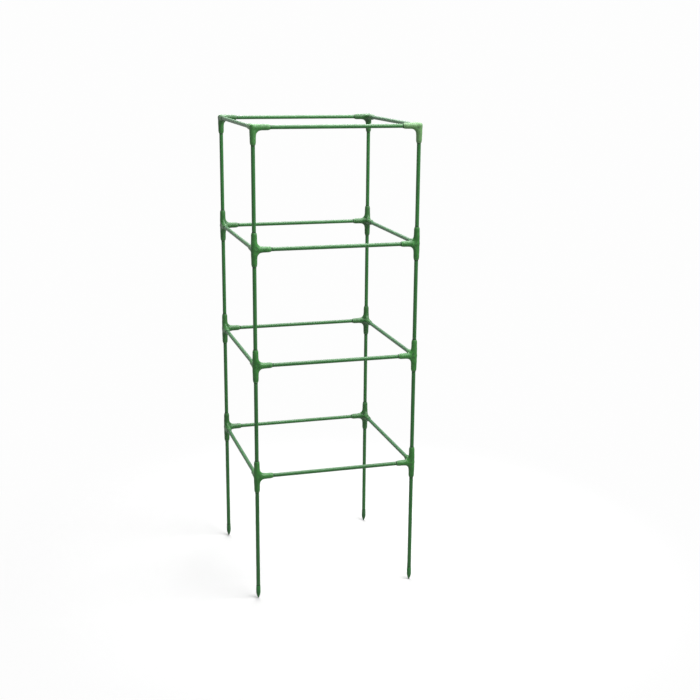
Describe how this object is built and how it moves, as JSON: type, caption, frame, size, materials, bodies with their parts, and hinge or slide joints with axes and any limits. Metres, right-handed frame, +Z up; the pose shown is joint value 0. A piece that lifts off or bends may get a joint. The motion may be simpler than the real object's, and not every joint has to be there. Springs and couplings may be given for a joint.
{
  "type": "tomato cage",
  "caption": "Square knock-down tomato cage: slim coated poles pushed into moulded corner connectors make rings of rails on straight posts, with pointed legs for the soil.",
  "frame": {"origin": "on the ground, in the middle of the points of the four legs", "axes": "+Z up along the posts, +X to the right and -Y to the front of the picture's nearest side"},
  "size_m": [0.363, 0.363, 1.0238],
  "materials": {
    "pole_coat": "satin extruded coat",
    "connector_plastic": "satin moulded",
    "steel_tube": "galvanised"
  },
  "bodies": {
    "base": {"tip_front_left": "connector_plastic", "tip_front_right": "connector_plastic", "tip_back_right": "connector_plastic", "tip_back_left": "connector_plastic", "leg_front_left": "pole_coat", "leg_front_right": "pole_coat", "leg_back_right": "pole_coat", "leg_back_left": "pole_coat", "leg_tubes": "steel_tube", "connector_1_front_left": "connector_plastic", "connector_1_front_right": "connector_plastic", "connector_1_back_right": "connector_plastic", "connector_1_back_left": "connector_plastic", "rail_1_front": "pole_coat", "rail_1_right": "pole_coat", "rail_1_back": "pole_coat", "rail_1_left": "pole_coat", "rail_tubes_1": "steel_tube"},
    "tier_2": {"post_1_front_left": "pole_coat", "post_1_front_right": "pole_coat", "post_1_back_right": "pole_coat", "post_1_back_left": "pole_coat", "post_tubes_1": "steel_tube", "connector_2_front_left": "connector_plastic", "connector_2_front_right": "connector_plastic", "connector_2_back_right": "connector_plastic", "connector_2_back_left": "connector_plastic", "rail_2_front": "pole_coat", "rail_2_right": "pole_coat", "rail_2_back": "pole_coat", "rail_2_left": "pole_coat", "rail_tubes_2": "steel_tube"},
    "tier_3": {"post_2_front_left": "pole_coat", "post_2_front_right": "pole_coat", "post_2_back_right": "pole_coat", "post_2_back_left": "pole_coat", "post_tubes_2": "steel_tube", "connector_3_front_left": "connector_plastic", "connector_3_front_right": "connector_plastic", "connector_3_back_right": "connector_plastic", "connector_3_back_left": "connector_plastic", "rail_3_front": "pole_coat", "rail_3_right": "pole_coat", "rail_3_back": "pole_coat", "rail_3_left": "pole_coat", "rail_tubes_3": "steel_tube"},
    "tier_4": {"post_3_front_left": "pole_coat", "post_3_front_right": "pole_coat", "post_3_back_right": "pole_coat", "post_3_back_left": "pole_coat", "post_tubes_3": "steel_tube", "top_corner_front_left": "connector_plastic", "top_corner_front_right": "connector_plastic", "top_corner_back_right": "connector_plastic", "top_corner_back_left": "connector_plastic", "rail_4_front": "pole_coat", "rail_4_right": "pole_coat", "rail_4_back": "pole_coat", "rail_4_left": "pole_coat", "rail_tubes_4": "steel_tube"}
  },
  "joints": [
    {"name": "tier_2_lift", "type": "slide", "parent": "base", "child": "tier_2", "axis": [0, 0, 1], "range_m": [0, 0.06]},
    {"name": "tier_3_lift", "type": "slide", "parent": "tier_2", "child": "tier_3", "axis": [0, 0, 1], "range_m": [0, 0.06]},
    {"name": "tier_4_lift", "type": "slide", "parent": "tier_3", "child": "tier_4", "axis": [0, 0, 1], "range_m": [0, 0.06]}
  ]
}
